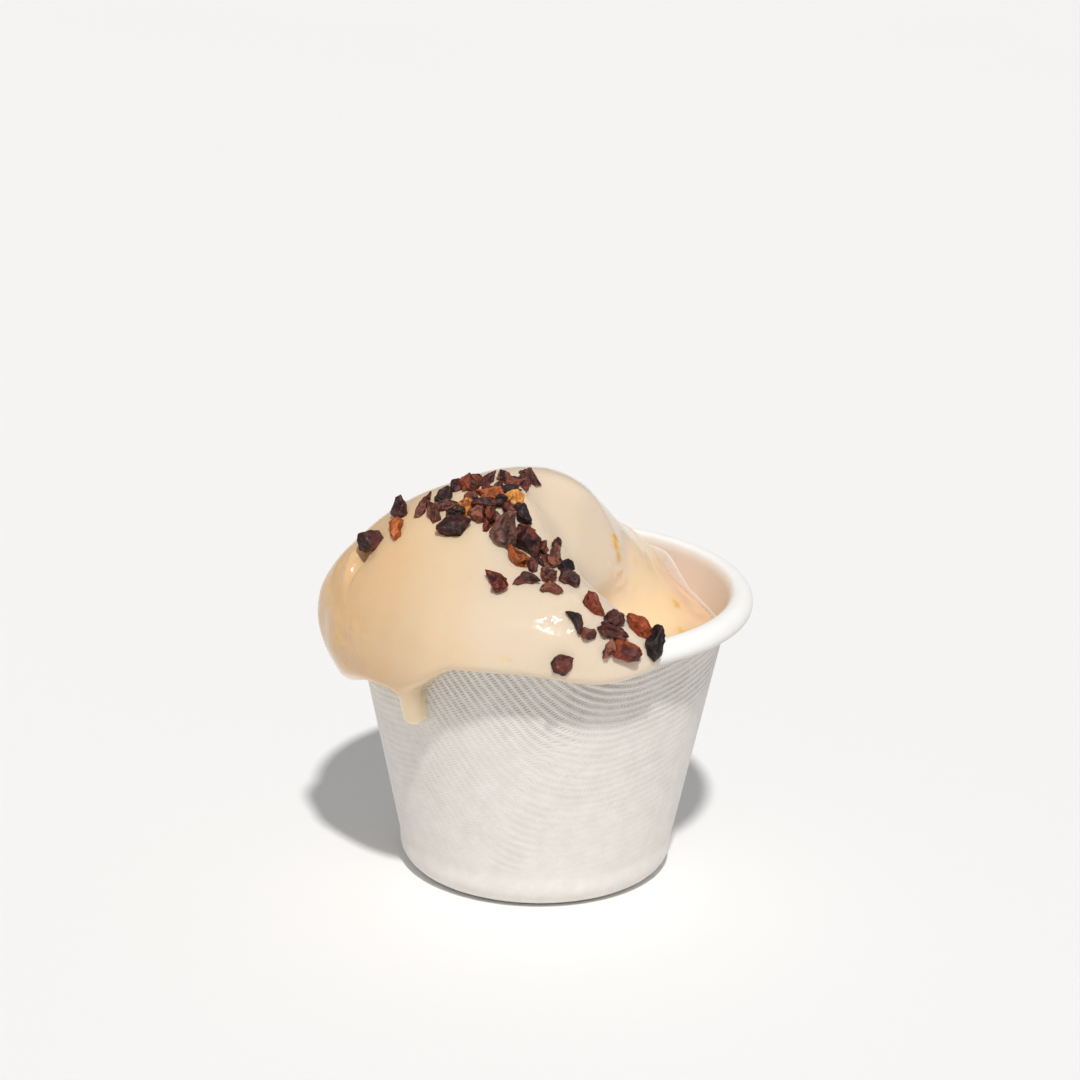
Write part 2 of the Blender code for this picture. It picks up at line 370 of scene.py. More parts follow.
def build_sorbet():
    gx = np.arange(-51.0, 47.0, 1.0)
    gy = np.arange(-50.0, 44.0, 1.0)
    gz = np.arange(36.0, 92.0, 1.0)
    grid = np.stack(np.meshgrid(gx, gy, gz, indexing="ij"), axis=-1).astype(np.float32)
    mound = heap(grid).astype(np.float32)
    mound = blur(mound, 2)
    # undo the shrink that blurring a round heap brings
    mound = mound - 0.10
    mound = blur(double(mound), 1)
    xs, ys, zs = (np.arange(g[0], g[-1] + 0.01, 0.5) for g in (gx, gy, gz))
    p = np.stack(np.meshgrid(xs, ys, zs, indexing="ij"), axis=-1).astype(np.float32)
    x, y, z = p[..., 0], p[..., 1], p[..., 2]
    r = np.hypot(x, y)
    deg = np.degrees(np.arctan2(y, x)) % 360.0
    low = lower_edge(deg)
    outside = smax(mound, low - z, 3.0)
    near = (x < -18) & (x > -36) & (y < -20) & (z < 60)
    drip = np.full(x.shape, 50.0, np.float32)
    # a thin fillet where the drip clings to the wall
    drip[near] = smin(lobe(p[near], DRIP), (r - wall_out(z))[near] + 0.35, 1.8)
    outside = smin(outside, drip, 1.6)
    level = FILL_LOW + (FILL_HIGH - FILL_LOW) * step((25.0 - x) / 20.0)
    wall = r - wall_in(z)
    inside = smin(np.maximum(mound, wall), smax(z - level, wall, 0.5), 8.0)
    above = smin(mound, smax(z - level, r - 41.0, 2.0), 8.0)
    # over the rim the two sides pass into each other
    rim = np.where(z > 63.0, above, np.where(r > 42.3, outside, inside))
    rim = np.where((z <= 63.0) & (r > wall_out(z)), outside, rim)
    field = np.maximum(rim, -0.30 - cup_distance(r, z))
    # plain rows further down, where the cup hides it
    deep = np.array([0.0, 1.0, 1.6, 3.0, 6.0, 10.0, 15.0, 20.0, 25.0, 30.0, 33.0])
    q = np.stack(np.meshgrid(xs, ys, deep, indexing="ij"), axis=-1)
    rd = np.hypot(q[..., 0], q[..., 1])
    low_part = np.maximum(np.maximum(rd - wall_in(q[..., 2]), 0.7 - q[..., 2]), -0.30 - cup_distance(rd, q[..., 2]))
    field = np.concatenate([low_part.astype(np.float32), field.astype(np.float32)], axis=2)
    pts, quads = surface_net(field, xs, ys, np.concatenate([deep, zs]))
    obj = make_mesh("soft_sorbet", pts, quads)
    # what the cup hides is thinned out
    rad = np.hypot(pts[:, 0], pts[:, 1])
    hid = np.nonzero((pts[:, 2] < 48.0) & (rad < wall_out(pts[:, 2])) | (cup_distance(rad, pts[:, 2]) < -0.15))[0]
    group = obj.vertex_groups.new(name="hidden")
    group.add(hid.tolist(), 1.0, "REPLACE")
    thin = obj.modifiers.new("thin", "DECIMATE")
    thin.ratio = 0.67
    thin.vertex_group = "hidden"
    thin.vertex_group_factor = 1.0
    thin.use_collapse_triangulate = True
    graph = bpy.context.evaluated_depsgraph_get()
    mesh = bpy.data.meshes.new_from_object(obj.evaluated_get(graph))
    obj.modifiers.clear()
    obj.vertex_groups.clear()
    obj.data = mesh
    return obj


noise_a, noise_b, noise_c, noise_d = Noise(3), Noise(5), Noise(8), Noise(13)


def ridged(p, scale, noise):
    return 1.0 - 2.6 * np.abs(noise(p, scale))


sorbet = build_sorbet()
# the fold where the left lobe laps against the heap: places along it (mm), then its depth
FOLD = [(-34.6, -13.8, 77.4, 0.3), (-35.9, -15.2, 75.6, 1.3), (-37.2, -16.9, 73.6, 1.8), (-38.2, -18.5, 71.9, 1.3),
        (-39.0, -20.0, 70.0, 0.6), (-39.4, -21.6, 68.2, 0.15)]
# where a scoop tore the surface: place, reach, roughness, size of the lumps
TORN = [(-39.4, -26.2, 61.4, 4.0, 0.55, 1.9), (-40.3, -24.6, 56.2, 3.6, 0.50, 1.8), (-37.2, -29.0, 60.6, 3.4, 0.36, 2.1),
        (16.9, -0.2, 65.3, 3.8, 0.42, 1.5), (16.6, -1.2, 65.2, 3.2, 0.22, 0.9), (14.8, -2.4, 67.6, 3.0, 0.34, 1.3), (2.2, -41.0, 69.6, 4.6, 0.22, 1.7),
        (5.5, -38.4, 70.8, 4.4, 0.26, 1.6), (9.4, -35.6, 71.2, 4.6, 0.26, 1.6), (11.4, -42.6, 65.4, 4.4, 0.24, 1.7),
        (0.8, -44.5, 63.8, 3.0, 0.14, 1.5), (7.5, -42.0, 68.2, 4.4, 0.24, 1.5), (8.0, -39.5, 69.4, 6.5, 0.30, 1.25), (-20.0, 14.0, 74.0, 8.0, 0.45, 2.8), (6.0, 24.0, 62.0, 7.0, 0.40, 2.6)]
# soft swells and dents: place, reach, height
SWELL = [(-45.3, -15.0, 58.4, 4.6, -0.75), (-42.6, -14.5, 71.0, 5.0, 0.35), (-43.4, -20.0, 52.5, 5.0, 0.25),
         (-41.8, -21.0, 63.0, 3.6, 0.25), (15.5, 20.0, 72.6, 5.5, -1.3), (19.5, 24.0, 67.5, 5.0, 0.5)]
# where the border against the wall lies higher: place, reach, height
RAISE = [(24.6, 27.0, 58.5, 5.5, 0.9), (28.5, 22.0, 55.0, 5.0, 0.8)]
# bits of fruit under the skin: place, reach across and along, strength
FRUIT = [(15.0, 2.6, 71.0, 2.3, 2.6, 1.0), (15.9, 1.2, 68.5, 1.5, 1.7, 0.9), (23.4, 9.5, 63.0, 1.5, 1.5, 0.26),
         (20.6, 6.0, 66.2, 1.8, 1.3, 0.22), (29.1, 6.2, 56.3, 1.5, 1.3, 0.95), (30.4, -2.3, 53.3, 2.4, 1.2, 0.66),
         (28.2, -5.6, 53.4, 1.4, 0.8, 0.30), (-7.2, -45.2, 62.3, 1.0, 0.32, 0.60), (-5.9, -45.3, 62.1, 0.7, 0.28, 0.45),
         (-14.2, -32.9, 74.9, 0.8, 0.6, 0.16), (-40.8, -23.6, 58.4, 1.6, 1.3, 0.24), (-39.5, -25.6, 53.2, 1.4, 1.1, 0.26),
         (-38.6, -27.0, 64.6, 0.8, 0.6, 0.14), (-16.0, 18.0, 72.0, 1.3, 0.8, 0.5), (-2.0, 28.0, 66.0, 1.0, 0.7, 0.6),
         (8.0, 24.0, 66.0, 1.2, 0.5, 0.5), (-30.0, 10.0, 70.0, 1.0, 0.6, 0.5), (-24.0, 24.0, 60.0, 1.3, 0.6, 0.4),
         (20.0, 20.0, 58.0, 1.0, 0.7, 0.6), (-38.0, 0.0, 70.0, 0.8, 0.5, 0.4)]
co, nor = coords_of(sorbet), normals_of(sorbet)
free = step((cup_distance(np.hypot(co[:, 0], co[:, 1]), co[:, 2]) - 0.25) / 1.2) * step((co[:, 2] - 38.0) / 3.0)
relief = (0.20 * noise_a(co, 11.0) + 0.06 * noise_b(co, 5.1)) * free
tree = BVHTree.FromObject(sorbet, bpy.context.evaluated_depsgraph_get())


def on_skin(x, y, z):
    return np.array(tree.find_nearest(Vector((x, y, z)) * MM)[0]) / MM


# the fold: a narrow valley with a rolled lip on its outer side
line = np.array(flow([[*on_skin(*f_[:3]), f_[3]] for f_ in FOLD], 6))
wave = np.stack([noise_c(co + 11.0 * k, 2.3) for k in range(3)], axis=1)
bent = co + 0.35 * wave
gap = np.full(len(co), 1e9)
deep = np.zeros(len(co))
for one, two in zip(line[:-1], line[1:]):
    ab = two[:3] - one[:3]
    t = np.clip(((bent - one[:3]) @ ab) / (ab @ ab), 0, 1)
    d = np.linalg.norm(bent - (one[:3] + t[:, None] * ab), axis=1)
    near_ = d < gap
    gap = np.where(near_, d, gap)
    deep = np.where(near_, one[3] + (two[3] - one[3]) * t, deep)
deep = deep * (1.0 + 0.45 * noise_b(co, 2.4))
middle = np.interp(co[:, 2], line[::-1, 2], line[::-1, 0])
relief = relief - deep * (np.exp(-(gap / 0.75) ** 2) + 0.55 * np.exp(-(gap / 3.6) ** 2))
relief = relief + 0.70 * deep * np.exp(-((gap - 2.0) / 1.1) ** 2) * step((middle - co[:, 0]) / 1.0)
for x, y, z, reach, height in SWELL:
    d = np.linalg.norm(co - on_skin(x, y, z), axis=1)
    relief = relief + height * np.exp(-(d / reach) ** 2) * free
for x, y, z, reach, amount, grain in TORN:
    d = np.linalg.norm(co + 0.5 * wave - on_skin(x, y, z), axis=1)
    mask = np.exp(-(d / reach) ** 2) * step((noise_b(co, reach * 0.6) + 0.55) / 0.7)
    rough = 0.75 * noise_d(co + 0.6 * wave, grain) + 0.25 * noise_c(co + 3.0, grain * 0.45) + 0.2
    relief = relief + amount * mask * rough * free
co = co + nor * relief[:, None]
for x, y, z, reach, height in RAISE:
    co[:, 2] += height * np.exp(-(np.linalg.norm(co - np.array([x, y, z]), axis=1) / reach) ** 2)
sorbet.data.vertices.foreach_set("co", (co * MM).astype(np.float32).ravel())
sorbet.data.update()
fruit = np.zeros(len(co))
warp = np.stack([noise_b(co + 7.0 * k, 0.9) for k in range(3)], axis=1)
for x, y, z, wide, tall_, amount in FRUIT:
    place = on_skin(x, y, z)
    q = co - place + 0.38 * min(wide, tall_) * warp
    d = np.sqrt((q[:, 0] ** 2 + q[:, 1] ** 2) / wide ** 2 + q[:, 2] ** 2 / tall_ ** 2)
    fruit = np.maximum(fruit, amount * step((1.15 - d) / 0.8))
layer = sorbet.data.attributes.new("fruit", "FLOAT", "POINT")
layer.data.foreach_set("value", fruit.astype(np.float32))
# nearness to the wall across the bowl: it carries the painted light on the bowl, and the pinkish tan where the sorbet
# runs out thin against the wall
reach = wall_in(co[:, 2]) - np.hypot(co[:, 0], co[:, 1])
turn_ = np.degrees(np.arctan2(co[:, 1], co[:, 0]))
near_wall = np.clip((32.0 + 3.0 * noise_b(co, 3.4) - reach) / 32.0, 0.0, 1.0) * step((turn_ + 64.0) / 44.0) * step((92.0 - turn_) / 48.0)
near_wall = near_wall * step((76.0 - co[:, 2]) / 10.0)
layer = sorbet.data.attributes.new("thin", "FLOAT", "POINT")
layer.data.foreach_set("value", near_wall.astype(np.float32))


# a thin smear the melt left on the cup's wall, above where the sorbet lies now
FILM = [(-14.0, 52.6), (-4.0, 53.6), (5.4, 54.2), (14.0, 53.9), (21.3, 53.9), (31.5, 54.9), (38.1, 57.1), (42.4, 59.2),
        (46.0, 60.6), (52.0, 61.0), (62.0, 61.1), (72.0, 60.2), (84.0, 56.5)]


def build_film():
    degs = np.arange(-14.0, 84.01, 0.5)
    tops = np.interp(degs, [f_[0] for f_ in FILM], [f_[1] for f_ in FILM])
    for _ in range(8):
        tops[1:-1] = 0.5 * tops[1:-1] + 0.25 * (tops[:-2] + tops[2:])
    rows = []
    for d_, top in zip(degs, tops):
        here = np.array([[d_ * 0.8, 3.0, 7.0]])
        top = top + 0.14 * float(noise_b(here, 5.0)[0]) + 0.05 * float(noise_c(here, 1.9)[0])
        end = min(1.0, (d_ + 14.0) / 6.0, (84.0 - d_) / 3.0)
        t_ = 0.06 + 0.10 * end * (1.0 + 0.4 * float(noise_c(here + 5.0, 3.2)[0]))
        low_ = 50.0
        ring = [(wall_in(low_) - t_ - 0.3, low_)]
        for k in range(1, 9):
            z_ = low_ + (top - 0.9 - low_) * k / 8
            ring.append((wall_in(z_) - t_ * (1.9 - 0.9 * k / 8), z_))
        ring += [(wall_in(top - 0.4) - t_ * 0.75, top - 0.4), (wall_in(top) - t_ * 0.40, top - 0.1), (wall_in(top) + 0.02, top),
                 (wall_in(top) + 0.32, top - 0.05), (wall_in(low_) + 0.32, low_)]
        a_ = math.radians(d_)
        rows.append([(r_ * math.cos(a_), r_ * math.sin(a_), z_) for r_, z_ in ring])
    rows = np.array(rows)
    n, k = rows.shape[:2]
    i_, j_ = np.arange(n - 1)[:, None], np.arange(k)[None, :]
    jn = (j_ + 1) % k
    quads = np.stack([i_ * k + j_, (i_ + 1) * k + j_, (i_ + 1) * k + jn, i_ * k + jn], axis=-1).reshape(-1, 4)
    pts = rows.reshape(-1, 3)
    mesh = bpy.data.meshes.new("melt_film")
    mesh.from_pydata((pts * MM).tolist(), [], quads.tolist() + [list(range(k)), list(range((n - 1) * k, n * k))[::-1]])
    mesh.update()
    bm = bmesh.new()
    bm.from_mesh(mesh)
    bmesh.ops.recalc_face_normals(bm, faces=bm.faces)
    bm.to_mesh(mesh)
    bm.free()
    mesh.polygons.foreach_set("use_smooth", np.ones(len(mesh.polygons), bool))
    obj = bpy.data.objects.new("melt_film", mesh)
    bpy.context.scene.collection.objects.link(obj)
    return obj


film = build_film()

# ------------------------------------------------------------ node helpers
class Nodes:
    def __init__(self, name):
        self.mat = bpy.data.materials.new(name)
        self.mat.use_nodes = True
        self.tree = self.mat.node_tree
        self.bsdf = self.tree.nodes["Principled BSDF"]
        self.coord = self.tree.nodes.new("ShaderNodeTexCoord").outputs["Object"]

    def add(self, kind, **inputs):
        node = self.tree.nodes.new(kind)
        for key, value in inputs.items():
            if key.startswith("_"):
                setattr(node, key[1:], value)
        for key, value in inputs.items():
            if not key.startswith("_"):
                name = key.replace("__", " ")
                if isinstance(value, bpy.types.NodeSocket):
                    self.tree.links.new(value, node.inputs[name])
                else:
                    node.inputs[name].default_value = value
        return node

    def link(self, a, b):
        self.tree.links.new(a, b)

    def noise(self, scale, detail=2.0, rough=0.5, vector=None, distortion=0.0):
        n = self.add("ShaderNodeTexNoise", Scale=scale, Detail=detail, Roughness=rough, Distortion=distortion)
        self.link(vector or self.coord, n.inputs["Vector"])
        return n.outputs["Fac"]

    def ramp(self, fac, stops, mode="LINEAR"):
        n = self.tree.nodes.new("ShaderNodeValToRGB")
        n.color_ramp.interpolation = mode
        e = n.color_ramp.elements
        while len(e) < len(stops):
            e.new(0.5)
        for el, (pos, col) in zip(e, stops):
            el.position = pos
            el.color = (*col, 1.0) if len(col) == 3 else col
        self.link(fac, n.inputs["Fac"])
        return n.outputs["Color"]

    def math(self, op, a, b=None, clamp=False):
        n = self.tree.nodes.new("ShaderNodeMath")
        n.operation = op
        n.use_clamp = clamp
        for i, v in enumerate((a, b)):
            if v is None:
                continue
            if isinstance(v, bpy.types.NodeSocket):
                self.link(v, n.inputs[i])
            else:
                n.inputs[i].default_value = v
        return n.outputs[0]

    def mix(self, fac, a, b, mode="MIX"):
        n = self.tree.nodes.new("ShaderNodeMix")
        n.data_type = "RGBA"
        n.blend_type = mode
        for key, v in ((0, fac), (6, a), (7, b)):
            if isinstance(v, bpy.types.NodeSocket):
                self.link(v, n.inputs[key])
            else:
                n.inputs[key].default_value = v if key == 0 else (*v, 1.0)
        return n.outputs[2]

    def bump(self, height, strength, distance, normal=None):
        n = self.tree.nodes.new("ShaderNodeBump")
        n.inputs["Strength"].default_value = strength
        n.inputs["Distance"].default_value = distance
        self.link(height, n.inputs["Height"])
        if normal is not None:
            self.link(normal, n.inputs["Normal"])
        return n.outputs["Normal"]


def lin(r, g, b):
    return tuple(((c / 255.0 + 0.055) / 1.055) ** 2.4 if c > 10 else c / 255.0 / 12.92 for c in (r, g, b))


# ------------------------------------------------------------- materials
m = Nodes("sorbet_cream")
tone = m.noise(55.0, 3.0, 0.5)
fine = m.noise(420.0, 2.0, 0.5)
# painted shade: a darker, more golden tan towards the left flank, which hangs over the side and turns away from the
# light; paler towards the right
where = m.tree.nodes.new("ShaderNodeSeparateXYZ")
m.link(m.coord, where.inputs[0])
left_flank_shade = m.math("ADD", where.outputs[0], m.math("MULTIPLY", tone, 0.012))
left_flank_shade = m.math("MULTIPLY", m.math("ADD", left_flank_shade, 0.050), 12.5)
base = m.ramp(left_flank_shade, [(0.06, lin(222, 179, 124)), (0.30, lin(222, 184, 138)), (0.46, lin(226, 201, 167)),
                        (0.60, lin(226, 208, 185)), (0.90, lin(227, 210, 189))], "EASE")
base = m.mix(m.ramp(tone, [(0.35, (0, 0, 0)), (0.72, (0.30,) * 3)]), base, lin(222, 197, 164))
# painted light: below the lip the skirt's lower part and the drip are lightened to a pale cream, as if light fell on
# them
lit_drip = m.tree.nodes.new("ShaderNodeMapRange")
lit_drip.interpolation_type = "SMOOTHSTEP"
m.link(where.outputs[2], lit_drip.inputs["Value"])
lit_drip.inputs["From Min"].default_value, lit_drip.inputs["From Max"].default_value = 0.0515, 0.0440
lit_drip.inputs["To Max"].default_value = 0.92
base = m.mix(lit_drip.outputs["Result"], base, lin(246, 227, 194))
base = m.mix(m.math("MULTIPLY", fine, 0.10), base, lin(234, 216, 192))
edge = m.tree.nodes.new("ShaderNodeAttribute")
edge.attribute_name = "thin"
# painted light: across the bowl the cream is made lighter and yellower, standing in for light on faces that lie in
# shade; next to the wall it turns a pinkish tan where the sorbet runs thin
bowl_light_and_thin_edge = m.ramp(edge.outputs["Fac"], [(0.25, lin(250, 224, 188)), (0.62, lin(246, 214, 170)), (0.80, lin(239, 204, 161)), (0.97, lin(222, 184, 149))])
base = m.mix(m.math("MULTIPLY", m.ramp(edge.outputs["Fac"], [(0.14, (0, 0, 0)), (0.42, (0.88,) * 3)]), 1.0), base, bowl_light_and_thin_edge)
bits = m.tree.nodes.new("ShaderNodeAttribute")
bits.attribute_name = "fruit"
spot = m.ramp(m.noise(700.0, 2.0, 0.6), [(0.3, lin(214, 152, 56)), (0.7, lin(244, 208, 112))])
base = m.mix(m.math("MULTIPLY", bits.outputs["Fac"], 0.9), base, spot)
m.link(base, m.bsdf.inputs["Base Color"])
rough = m.ramp(m.noise(160.0, 3.0, 0.6), [(0.3, (0.07,) * 3), (0.7, (0.15,) * 3)])
m.link(rough, m.bsdf.inputs["Roughness"])
m.bsdf.inputs["Subsurface Weight"].default_value = 0.45
m.bsdf.inputs["Subsurface Radius"].default_value = (1.0, 0.55, 0.25)
m.bsdf.inputs["Subsurface Scale"].default_value = 0.003
m.bsdf.inputs["IOR"].default_value = 1.40
n1 = m.bump(m.noise(330.0, 2.0, 0.5), 0.16, 0.0004)
n1 = m.bump(m.noise(1500.0, 1.0, 0.5), 0.06, 0.0001, n1)
m.link(n1, m.bsdf.inputs["Normal"])
sorbet.data.materials.append(m.mat)

w = Nodes("film_pink")
w.link(w.ramp(w.noise(240.0, 3.0, 0.55), [(0.3, lin(236, 222, 211)), (0.7, lin(244, 233, 223))]), w.bsdf.inputs["Base Color"])
w.link(w.ramp(w.noise(300.0, 2.0, 0.5), [(0.3, (0.16,) * 3), (0.7, (0.30,) * 3)]), w.bsdf.inputs["Roughness"])
w.bsdf.inputs["Subsurface Weight"].default_value = 0.3
w.bsdf.inputs["Subsurface Radius"].default_value = (1.0, 0.6, 0.35)
w.bsdf.inputs["Subsurface Scale"].default_value = 0.001
w.link(w.bump(w.noise(500.0, 2.0, 0.5), 0.15, 0.0002), w.bsdf.inputs["Normal"])
film.data.materials.append(w.mat)

# the forming mesh leaves nested bends in the cup's wall: three fans around it
FAN_TURN, BEND_S, BEND_Z, BEND_K, RIB, WEFT = math.radians(14.7), -1.0, 45.0, 11.0, 1.50, 0.64
THIRD = math.tau / 3.0
STEEP, FLAT = math.radians(50.0), math.radians(9.0)

c = Nodes("cup_fibre")


def fade(value, lo, hi):
    n = c.tree.nodes.new("ShaderNodeMapRange")
    n.interpolation_type = "SMOOTHSTEP"
    c.link(value, n.inputs["Value"])
    n.inputs["From Min"].default_value, n.inputs["From Max"].default_value = lo, hi
    return n.outputs["Result"]


def mul(*values):
    out = values[0]
    for v in values[1:]:
        out = c.math("MULTIPLY", out, v)
    return out


def plane(u_, a_, v_, b_):
    return c.math("ADD", mul(u_, a_), mul(v_, b_))


def wave_of(value, pitch):
    n = c.math("MULTIPLY_ADD", c.math("COSINE", mul(value, math.tau / pitch)), 0.5)
    n.node.inputs[2].default_value = 0.5
    return n


sep = c.tree.nodes.new("ShaderNodeSeparateXYZ")
c.link(c.coord, sep.inputs[0])
X, Y, Z = (mul(sep.outputs[a_], 1000.0) for a_ in range(3))
theta = c.math("ARCTAN2", X, mul(Y, -1.0))
wrap = c.tree.nodes.new("ShaderNodeMath")
wrap.operation = "WRAP"
c.link(c.math("SUBTRACT", theta, FAN_TURN), wrap.inputs[0])
wrap.inputs[1].default_value = THIRD / 2
wrap.inputs[2].default_value = -THIRD / 2
radius = c.math("ADD", mul(Z, TAPER), WALL_OUT - WALL_Z * TAPER)
S_ = c.math("SUBTRACT", mul(wrap.outputs[0], radius), BEND_S)
T_ = c.math("SUBTRACT", Z, BEND_Z)
left_ = plane(S_, -math.sin(STEEP), T_, -math.cos(STEEP))
right_ = plane(S_, math.sin(FLAT), T_, -math.cos(FLAT))
part_ = c.math("SUBTRACT", left_, right_)
near_ = mul(c.math("MAXIMUM", c.math("SUBTRACT", BEND_K, c.math("ABSOLUTE", part_)), 0.0), 1.0 / BEND_K)
u = c.math("ADD", c.math("MAXIMUM", left_, right_), mul(mul(near_, near_), BEND_K * 0.25))
u = c.math("ADD", u, mul(c.noise(60.0, 2.0, 0.5), 1.1))
u = c.math("ADD", u, mul(c.noise(300.0, 1.0, 0.5), 0.22))
share = fade(part_, -6.0, 6.0)
v = c.math("ADD", mul(share, plane(S_, math.cos(STEEP), T_, -math.sin(STEEP))),
           mul(c.math("SUBTRACT", 1.0, share), plane(S_, math.cos(FLAT), T_, math.sin(FLAT))))
ribs, weft = wave_of(u, RIB), wave_of(c.math("ADD", v, mul(u, 0.213)), WEFT)
spread = c.math("SQRT", c.math("ADD", mul(X, X), mul(Y, Y)))
outer = fade(c.math("SUBTRACT", spread, radius), -0.7, -0.3)
on_wall = mul(fade(Z, 57.6, 56.8), fade(Z, 7.0, 10.0), outer)
patch = c.ramp(c.noise(70.0, 2.0, 0.5), [(0.30, (0.55,) * 3), (0.65, (1.0,) * 3)])
strong = c.math("ADD", mul(fade(Z, 38.0, 50.0), 0.70), c.math("ADD", mul(fade(Z, 14.0, 34.0), 0.16), 0.12))
strong = mul(strong, on_wall, patch)
dots = mul(weft, fade(ribs, 0.75, 0.25))
broken = c.ramp(c.noise(420.0, 2.0, 0.5), [(0.38, (0.35,) * 3), (0.58, (1.0,) * 3)])
weave = c.math("ADD", mul(ribs, strong), mul(dots, mul(c.math("ADD", mul(strong, 0.7), 0.05), on_wall)))
base = c.ramp(c.noise(260.0, 4.0, 0.65), [(0.25, lin(225, 219, 212)), (0.75, lin(237, 233, 228))])
# painted shade: the grooves between the ribs are darkened towards grey-brown, most in the band under the rim where the
# sorbet's shadow falls
groove_shade = mul(broken, c.math("SUBTRACT", 1.0, ribs), c.math("SUBTRACT", 1.0, mul(dots, 0.75)), strong, 0.62)
base = c.mix(groove_shade, base, lin(176, 166, 154))
# painted shade: the inside wall and the inner side of the lip turn a warm tan, standing in for shade and the warm light
# the sorbet throws back on them
blot = c.ramp(c.noise(48.0, 3.0, 0.55), [(0.30, (0.72,) * 3), (0.70, (1.0,) * 3)])
on_inside = mul(fade(c.math("SUBTRACT", spread, radius), -0.35, -0.6), fade(Z, 1.0, 3.0))
on_lip = mul(fade(spread, 41.6, 40.9), fade(Z, 58.2, 59.6))
inner_wall_shade = mul(c.math("MAXIMUM", on_inside, on_lip), fade(Z, 63.0, 61.4))
base = c.mix(mul(inner_wall_shade, blot), base, lin(233, 216, 202))
# painted light: the top of the lip is made nearly white, where the light falls full on it
base = c.mix(mul(fade(Z, 58.8, 60.5), fade(spread, 40.2, 41.4), 0.75), base, lin(251, 251, 250))
c.link(base, c.bsdf.inputs["Base Color"])
c.link(c.ramp(c.noise(300.0, 3.0, 0.6), [(0.3, (0.66,) * 3), (0.7, (0.86,) * 3)]), c.bsdf.inputs["Roughness"])
n2 = c.bump(weave, 1.0, 0.00028)
n2 = c.bump(c.noise(1500.0, 3.0, 0.7), 0.35, 0.00012, n2)
n2 = c.bump(c.noise(180.0, 3.0, 0.5), 0.25, 0.0004, n2)
c.link(n2, c.bsdf.inputs["Normal"])

# ------------------------------------------------------------------ the cup
SEG = 440


def build_cup():
    inner, lip, outer, foot = cup_profile(80)
    prof = np.array(inner + lip + outer + foot)
    keep = [0] + [i for i in range(1, len(prof)) if np.hypot(*(prof[i] - prof[i - 1])) > 0.02]
    prof = prof[keep]
    body = prof[1:-1]
    ang = np.arange(SEG) * math.tau / SEG
    rr = body[:, 0][:, None] * np.ones(SEG)
    zz = body[:, 1][:, None] * np.ones(SEG)
    pts = np.stack([rr * np.cos(ang), rr * np.sin(ang), zz], axis=-1).reshape(-1, 3)
    rows = len(body)
    i = np.arange(rows - 1)[:, None]
    j = np.arange(SEG)[None, :]
    k = (j + 1) % SEG
    quads = np.stack([i * SEG + j, i * SEG + k, (i + 1) * SEG + k, (i + 1) * SEG + j], axis=-1).reshape(-1, 4)
    quads = quads[:, ::-1]
    top, bottom = len(pts), len(pts) + 1
    pts = np.vstack([pts, [[0, 0, prof[0, 1]], [0, 0, prof[-1, 1]]]])
    jj = np.arange(SEG)
    kk = (jj + 1) % SEG
    fan0 = np.stack([np.full(SEG, top), jj, kk], axis=-1)
    last = (rows - 1) * SEG
    fan1 = np.stack([np.full(SEG, bottom), last + kk, last + jj], axis=-1)
    mesh = bpy.data.meshes.new("fibre_cup")
    mesh.from_pydata((pts * MM).tolist(), [], quads.tolist() + fan0.tolist() + fan1.tolist())
    mesh.update()
    mesh.polygons.foreach_set("use_smooth", np.ones(len(mesh.polygons), bool))
    obj = bpy.data.objects.new("fibre_cup", mesh)
    bpy.context.scene.collection.objects.link(obj)
    return obj


cup = build_cup()
cup.data.materials.append(c.mat)

# ------------------------------------------------------------- cocoa nibs
OUTLINE = {
    "block": [(-0.9, -0.6), (-0.2, -1), (0.8, -0.75), (1, 0.3), (0.5, 0.95), (-0.6, 0.9), (-1, 0.2)],
    "knob": [(-1, -0.5), (-0.3, -1), (0.45, -0.55), (1.0, -0.3), (1.0, 0.15), (0.35, 0.7), (-0.4, 1.0), (-1, 0.5)],
    "hex": [(-1, -0.1), (-0.55, -1), (0.5, -0.95), (1, 0.0), (0.55, 1), (-0.5, 0.85)],
    "shard": [(-1, -0.5), (-0.2, -1), (1, 0.1), (0.1, 0.9), (-0.9, 0.8)],
    "point": [(-1, -0.8), (0.1, -1), (1, 0.15), (0.0, 0.9), (-1, 0.6)],
    "almond": [(-1, 0), (-0.5, -0.75), (0.2, -1), (0.75, -0.6), (1, 0.05), (0.6, 0.7), (-0.1, 1), (-0.7, 0.6)],
    "wedge": [(-1, 0.75), (-0.7, -0.3), (0.1, -1), (0.9, -0.6), (1, 0.35), (0.2, 0.7)],
    "fan": [(1, 0.2), (0.6, -0.45), (-0.6, -1), (-1, -0.55), (-1, 0.5), (-0.6, 1), (0.5, 0.6)],
    "dome": [(-1, -0.3), (-0.55, -0.95), (0.3, -1), (0.9, -0.5), (1, 0.3), (0.55, 0.9), (-0.4, 0.95), (-0.95, 0.5)],
    "tri": [(-1, 0.8), (0.7, 1), (1, 0.5), (0.8, -1), (0.3, -0.8)],
    "spike": [(-1, 0.1), (-0.6, -0.9), (0.3, -1), (1.25, -0.7), (0.6, 0.2), (-0.1, 1), (-0.8, 0.7)],
}
OUTLINE["crescent"] = OUTLINE["bent"] = OUTLINE["almond"]
